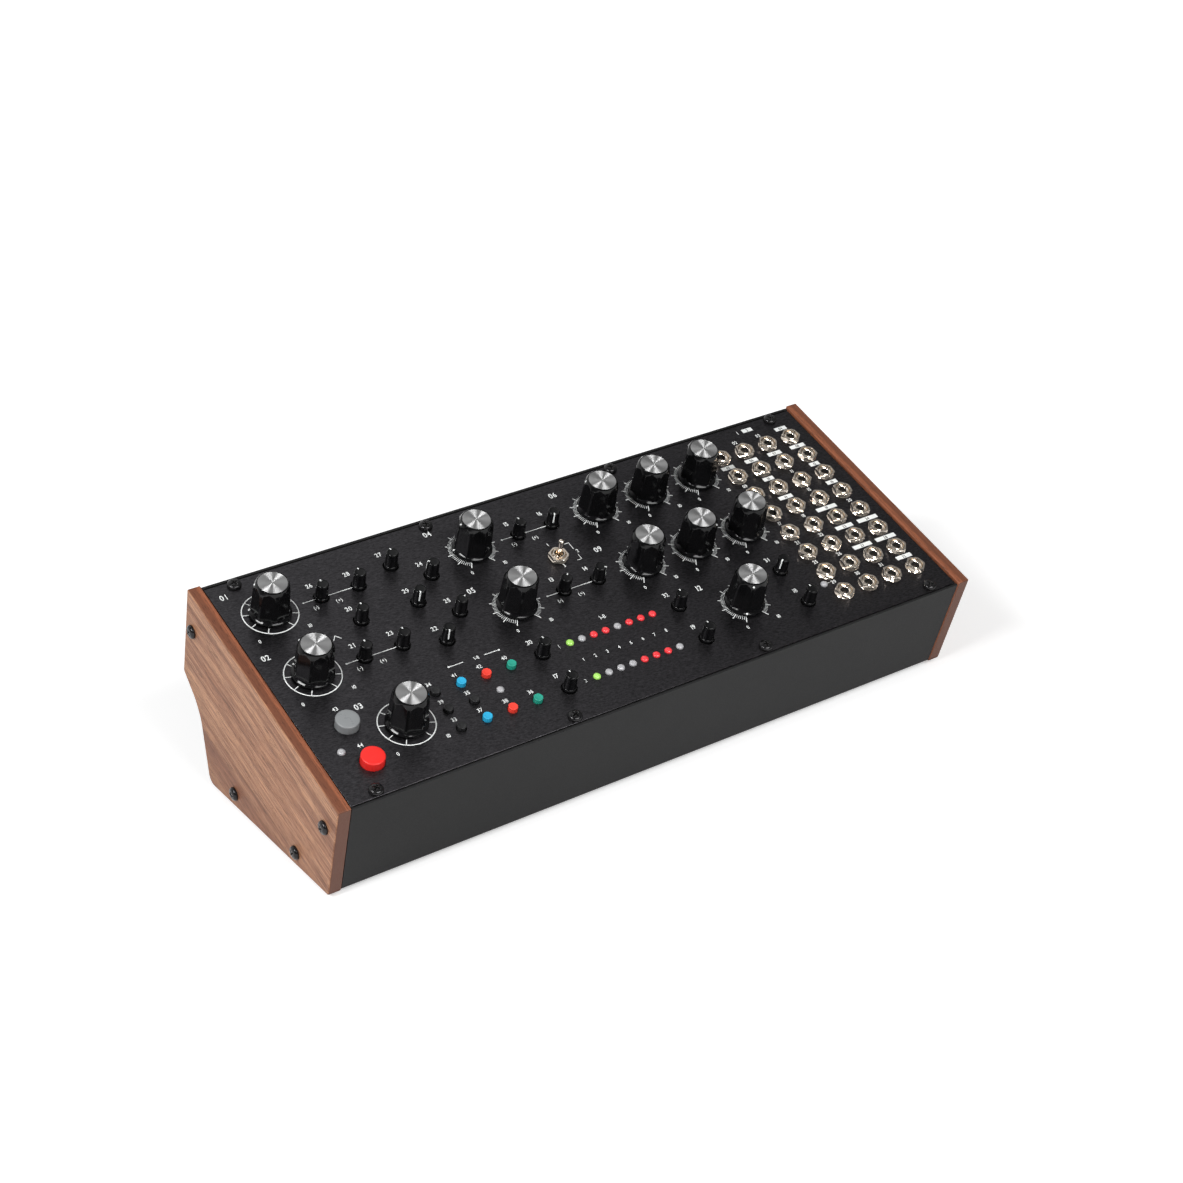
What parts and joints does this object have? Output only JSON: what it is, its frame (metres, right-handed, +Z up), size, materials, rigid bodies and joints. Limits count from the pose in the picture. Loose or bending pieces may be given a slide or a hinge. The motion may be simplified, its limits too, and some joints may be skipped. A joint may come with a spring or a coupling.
{
  "type": "analog sequencer",
  "caption": "Desktop analogue step sequencer and synthesiser voice: a sloping panel of knobs, push buttons, lamps and patch sockets in a black case with wooden cheeks.",
  "frame": {"origin": "middle of the bounding box's underside, on the surface that the feet stand on", "axes": "+X to the player's right along the panel, +Y to the rear, +Z up"},
  "size_m": [0.3234, 0.1402, 0.1062],
  "materials": {
    "black_anodised": "brushed and anodised black",
    "black_steel": "satin black powder coat",
    "walnut": "oiled",
    "circuit_board": "green solder mask",
    "nickel": "bright nickel plate",
    "black_plastic": "satin",
    "bare_steel": "zinc plated",
    "rubber": "matt",
    "knob_black": "glossy",
    "grey_cap": "satin",
    "red_cap": "satin",
    "blue_cap": "satin",
    "coral_cap": "satin",
    "teal_cap": "satin",
    "black_cap": "satin"
  },
  "bodies": {
    "housing": {"front_panel": "black_anodised", "case_shell": "black_steel", "left_cheek": "walnut", "right_cheek": "walnut", "control_board": "circuit_board", "jack_board": "circuit_board", "toggle_body": "nickel", "output_jack": "nickel", "power_inlet": "black_plastic", "front_bar": "bare_steel", "rear_bar": "bare_steel", "front_left_foot": "rubber", "front_right_foot": "rubber", "rear_left_foot": "rubber", "rear_right_foot": "rubber"},
    "oscillator_pitch_knob_body": {"oscillator_pitch_knob": "knob_black"},
    "modulator_pitch_knob_body": {"modulator_pitch_knob": "knob_black"},
    "tempo_knob_body": {"tempo_knob": "knob_black"},
    "wavefolder_knob_body": {"wavefolder_knob": "knob_black"},
    "cutoff_knob_body": {"cutoff_knob": "knob_black"},
    "fold_bias_knob_body": {"fold_bias_knob": "knob_black"},
    "blend_knob_body": {"blend_knob": "knob_black"},
    "volume_knob_body": {"volume_knob": "knob_black"},
    "resonance_knob_body": {"resonance_knob": "knob_black"},
    "filter_mode_knob_body": {"filter_mode_knob": "knob_black"},
    "source_mix_knob_body": {"source_mix_knob": "knob_black"},
    "envelope_mix_knob_body": {"envelope_mix_knob": "knob_black"},
    "oscillator_envelope_knob_body": {"oscillator_envelope_knob": "knob_black"},
    "oscillator_sequence_knob_body": {"oscillator_sequence_knob": "knob_black"},
    "modulation_amount_knob_body": {"modulation_amount_knob": "knob_black"},
    "modulator_envelope_knob_body": {"modulator_envelope_knob": "knob_black"},
    "modulator_sequence_knob_body": {"modulator_sequence_knob": "knob_black"},
    "oscillator_level_knob_body": {"oscillator_level_knob": "knob_black"},
    "noise_level_knob_body": {"noise_level_knob": "knob_black"},
    "ring_level_knob_body": {"ring_level_knob": "knob_black"},
    "noise_tone_knob_body": {"noise_tone_knob": "knob_black"},
    "modulator_level_knob_body": {"modulator_level_knob": "knob_black"},
    "folder_envelope_knob_body": {"folder_envelope_knob": "knob_black"},
    "folder_sequence_knob_body": {"folder_sequence_knob": "knob_black"},
    "filter_envelope_knob_body": {"filter_envelope_knob": "knob_black"},
    "filter_sequence_knob_body": {"filter_sequence_knob": "knob_black"},
    "upper_corrupt_knob_body": {"upper_corrupt_knob": "knob_black"},
    "lower_corrupt_knob_body": {"lower_corrupt_knob": "knob_black"},
    "upper_range_knob_body": {"upper_range_knob": "knob_black"},
    "lower_range_knob_body": {"lower_range_knob": "knob_black"},
    "upper_decay_knob_body": {"upper_decay_knob": "knob_black"},
    "lower_decay_knob_body": {"lower_decay_knob": "knob_black"},
    "trigger_button_body": {"trigger_button": "grey_cap"},
    "run_button_body": {"run_button": "red_cap"},
    "buffer_button_body": {"buffer_button": "black_cap"},
    "reset_button_body": {"reset_button": "black_cap"},
    "advance_button_body": {"advance_button": "black_cap"},
    "chain_button_body": {"chain_button": "black_cap"},
    "upper_length_button_body": {"upper_length_button": "blue_cap"},
    "upper_shift_button_body": {"upper_shift_button": "coral_cap"},
    "upper_flip_button_body": {"upper_flip_button": "teal_cap"},
    "lower_length_button_body": {"lower_length_button": "blue_cap"},
    "lower_shift_button_body": {"lower_shift_button": "coral_cap"},
    "lower_flip_button_body": {"lower_flip_button": "teal_cap"},
    "toggle_lever_body": {"toggle_lever": "nickel"}
  },
  "joints": [
    {"name": "oscillator_pitch_turn", "type": "hinge", "parent": "housing", "child": "oscillator_pitch_knob_body", "pos_m": [-0.13419, 0.02946, 0.08731], "axis": [0, -0.3665, 0.9304], "range_deg": [-216, 84]},
    {"name": "modulator_pitch_turn", "type": "hinge", "parent": "housing", "child": "modulator_pitch_knob_body", "pos_m": [-0.13419, -0.00562, 0.07349], "axis": [0, -0.3665, 0.9304], "range_deg": [-189, 111]},
    {"name": "tempo_turn", "type": "hinge", "parent": "housing", "child": "tempo_knob_body", "pos_m": [-0.11254, -0.04143, 0.05938], "axis": [0, -0.3665, 0.9304], "range_deg": [-90, 210]},
    {"name": "wavefolder_turn", "type": "hinge", "parent": "housing", "child": "wavefolder_knob_body", "pos_m": [-0.0373, 0.02946, 0.08731], "axis": [0, -0.3665, 0.9304], "range_deg": [-234, 66]},
    {"name": "cutoff_turn", "type": "hinge", "parent": "housing", "child": "cutoff_knob_body", "pos_m": [-0.0373, -0.00562, 0.07349], "axis": [0, -0.3665, 0.9304], "range_deg": [-150, 150]},
    {"name": "fold_bias_turn", "type": "hinge", "parent": "housing", "child": "fold_bias_knob_body", "pos_m": [0.0276, 0.02946, 0.08731], "axis": [0, -0.3665, 0.9304], "range_deg": [-214, 86]},
    {"name": "blend_turn", "type": "hinge", "parent": "housing", "child": "blend_knob_body", "pos_m": [0.05554, 0.02946, 0.08731], "axis": [0, -0.3665, 0.9304], "range_deg": [-162, 138]},
    {"name": "volume_turn", "type": "hinge", "parent": "housing", "child": "volume_knob_body", "pos_m": [0.08314, 0.02946, 0.08731], "axis": [0, -0.3665, 0.9304], "range_deg": [-73, 227]},
    {"name": "resonance_turn", "type": "hinge", "parent": "housing", "child": "resonance_knob_body", "pos_m": [0.0276, -0.00562, 0.07349], "axis": [0, -0.3665, 0.9304], "range_deg": [-125, 175]},
    {"name": "filter_mode_turn", "type": "hinge", "parent": "housing", "child": "filter_mode_knob_body", "pos_m": [0.05554, -0.00562, 0.07349], "axis": [0, -0.3665, 0.9304], "range_deg": [-6, 294]},
    {"name": "source_mix_turn", "type": "hinge", "parent": "housing", "child": "source_mix_knob_body", "pos_m": [0.08314, -0.00562, 0.07349], "axis": [0, -0.3665, 0.9304], "range_deg": [-72, 228]},
    {"name": "envelope_mix_turn", "type": "hinge", "parent": "housing", "child": "envelope_mix_knob_body", "pos_m": [0.05554, -0.04143, 0.05938], "axis": [0, -0.3665, 0.9304], "range_deg": [-300, 0]},
    {"name": "oscillator_envelope_turn", "type": "hinge", "parent": "housing", "child": "oscillator_envelope_knob_body", "pos_m": [-0.11063, 0.02918, 0.0872], "axis": [0, -0.3665, 0.9304], "range_deg": [-150, 150]},
    {"name": "oscillator_sequence_turn", "type": "hinge", "parent": "housing", "child": "oscillator_sequence_knob_body", "pos_m": [-0.09293, 0.02918, 0.0872], "axis": [0, -0.3665, 0.9304], "range_deg": [-150, 150]},
    {"name": "modulation_amount_turn", "type": "hinge", "parent": "housing", "child": "modulation_amount_knob_body", "pos_m": [-0.10175, 0.01197, 0.08042], "axis": [0, -0.3665, 0.9304], "range_deg": [-150, 150]},
    {"name": "modulator_envelope_turn", "type": "hinge", "parent": "housing", "child": "modulator_envelope_knob_body", "pos_m": [-0.11063, -0.00598, 0.07335], "axis": [0, -0.3665, 0.9304], "range_deg": [-150, 150]},
    {"name": "modulator_sequence_turn", "type": "hinge", "parent": "housing", "child": "modulator_sequence_knob_body", "pos_m": [-0.09293, -0.00598, 0.07335], "axis": [0, -0.3665, 0.9304], "range_deg": [-150, 150]},
    {"name": "oscillator_level_turn", "type": "hinge", "parent": "housing", "child": "oscillator_level_knob_body", "pos_m": [-0.07463, 0.03391, 0.08906], "axis": [0, -0.3665, 0.9304], "range_deg": [-150, 150]},
    {"name": "noise_level_turn", "type": "hinge", "parent": "housing", "child": "noise_level_knob_body", "pos_m": [-0.06135, 0.02284, 0.0847], "axis": [0, -0.3665, 0.9304], "range_deg": [-210, 90]},
    {"name": "ring_level_turn", "type": "hinge", "parent": "housing", "child": "ring_level_knob_body", "pos_m": [-0.07463, 0.01178, 0.08034], "axis": [0, -0.3665, 0.9304], "range_deg": [-300, 0]},
    {"name": "noise_tone_turn", "type": "hinge", "parent": "housing", "child": "noise_tone_knob_body", "pos_m": [-0.06135, 0.00054, 0.07592], "axis": [0, -0.3665, 0.9304], "range_deg": [-90, 210]},
    {"name": "modulator_level_turn", "type": "hinge", "parent": "housing", "child": "modulator_level_knob_body", "pos_m": [-0.07463, -0.01079, 0.07145], "axis": [0, -0.3665, 0.9304], "range_deg": [-300, 0]},
    {"name": "folder_envelope_turn", "type": "hinge", "parent": "housing", "child": "folder_envelope_knob_body", "pos_m": [-0.01362, 0.02918, 0.0872], "axis": [0, -0.3665, 0.9304], "range_deg": [-150, 150]},
    {"name": "folder_sequence_turn", "type": "hinge", "parent": "housing", "child": "folder_sequence_knob_body", "pos_m": [0.00386, 0.02918, 0.0872], "axis": [0, -0.3665, 0.9304], "range_deg": [-300, 0]},
    {"name": "filter_envelope_turn", "type": "hinge", "parent": "housing", "child": "filter_envelope_knob_body", "pos_m": [-0.01362, -0.00598, 0.07335], "axis": [0, -0.3665, 0.9304], "range_deg": [-111, 189]},
    {"name": "filter_sequence_turn", "type": "hinge", "parent": "housing", "child": "filter_sequence_knob_body", "pos_m": [0.00386, -0.00598, 0.07335], "axis": [0, -0.3665, 0.9304], "range_deg": [-20, 280]},
    {"name": "upper_corrupt_turn", "type": "hinge", "parent": "housing", "child": "upper_corrupt_knob_body", "pos_m": [-0.0422, -0.03223, 0.06301], "axis": [0, -0.3665, 0.9304], "range_deg": [-150, 150]},
    {"name": "lower_corrupt_turn", "type": "hinge", "parent": "housing", "child": "lower_corrupt_knob_body", "pos_m": [-0.0422, -0.05167, 0.05535], "axis": [0, -0.3665, 0.9304], "range_deg": [-150, 150]},
    {"name": "upper_range_turn", "type": "hinge", "parent": "housing", "child": "upper_range_knob_body", "pos_m": [0.02757, -0.03223, 0.06301], "axis": [0, -0.3665, 0.9304], "range_deg": [-150, 150]},
    {"name": "lower_range_turn", "type": "hinge", "parent": "housing", "child": "lower_range_knob_body", "pos_m": [0.02757, -0.05167, 0.05535], "axis": [0, -0.3665, 0.9304], "range_deg": [-150, 150]},
    {"name": "upper_decay_turn", "type": "hinge", "parent": "housing", "child": "upper_decay_knob_body", "pos_m": [0.08275, -0.03223, 0.06301], "axis": [0, -0.3665, 0.9304], "range_deg": [-270, 30]},
    {"name": "lower_decay_turn", "type": "hinge", "parent": "housing", "child": "lower_decay_knob_body", "pos_m": [0.08275, -0.05167, 0.05535], "axis": [0, -0.3665, 0.9304], "range_deg": [-150, 150]},
    {"name": "trigger_press", "type": "slide", "parent": "housing", "child": "trigger_button_body", "axis": [0, 0.3665, -0.9304], "range_m": [0, 0.0007], "stiffness_N_per_m": 60, "springref_m": -0.001},
    {"name": "run_press", "type": "slide", "parent": "housing", "child": "run_button_body", "axis": [0, 0.3665, -0.9304], "range_m": [0, 0.0007], "stiffness_N_per_m": 60, "springref_m": -0.001},
    {"name": "buffer_press", "type": "slide", "parent": "housing", "child": "buffer_button_body", "axis": [0, 0.3665, -0.9304], "range_m": [0, 0.0004], "stiffness_N_per_m": 20, "springref_m": -0.0005},
    {"name": "reset_press", "type": "slide", "parent": "housing", "child": "reset_button_body", "axis": [0, 0.3665, -0.9304], "range_m": [0, 0.0004], "stiffness_N_per_m": 20, "springref_m": -0.0005},
    {"name": "advance_press", "type": "slide", "parent": "housing", "child": "advance_button_body", "axis": [0, 0.3665, -0.9304], "range_m": [0, 0.0004], "stiffness_N_per_m": 20, "springref_m": -0.0005},
    {"name": "chain_press", "type": "slide", "parent": "housing", "child": "chain_button_body", "axis": [0, 0.3665, -0.9304], "range_m": [0, 0.0004], "stiffness_N_per_m": 20, "springref_m": -0.0005},
    {"name": "upper_length_press", "type": "slide", "parent": "housing", "child": "upper_length_button_body", "axis": [0, 0.3665, -0.9304], "range_m": [0, 0.0004], "stiffness_N_per_m": 20, "springref_m": -0.0005},
    {"name": "upper_shift_press", "type": "slide", "parent": "housing", "child": "upper_shift_button_body", "axis": [0, 0.3665, -0.9304], "range_m": [0, 0.0004], "stiffness_N_per_m": 20, "springref_m": -0.0005},
    {"name": "upper_flip_press", "type": "slide", "parent": "housing", "child": "upper_flip_button_body", "axis": [0, 0.3665, -0.9304], "range_m": [0, 0.0004], "stiffness_N_per_m": 20, "springref_m": -0.0005},
    {"name": "lower_length_press", "type": "slide", "parent": "housing", "child": "lower_length_button_body", "axis": [0, 0.3665, -0.9304], "range_m": [0, 0.0004], "stiffness_N_per_m": 20, "springref_m": -0.0005},
    {"name": "lower_shift_press", "type": "slide", "parent": "housing", "child": "lower_shift_button_body", "axis": [0, 0.3665, -0.9304], "range_m": [0, 0.0004], "stiffness_N_per_m": 20, "springref_m": -0.0005},
    {"name": "lower_flip_press", "type": "slide", "parent": "housing", "child": "lower_flip_button_body", "axis": [0, 0.3665, -0.9304], "range_m": [0, 0.0004], "stiffness_N_per_m": 20, "springref_m": -0.0005},
    {"name": "toggle_flick", "type": "hinge", "parent": "housing", "child": "toggle_lever_body", "pos_m": [-0.00499, 0.01113, 0.08009], "axis": [1, 0, 0], "range_deg": [-12, 12]}
  ]
}
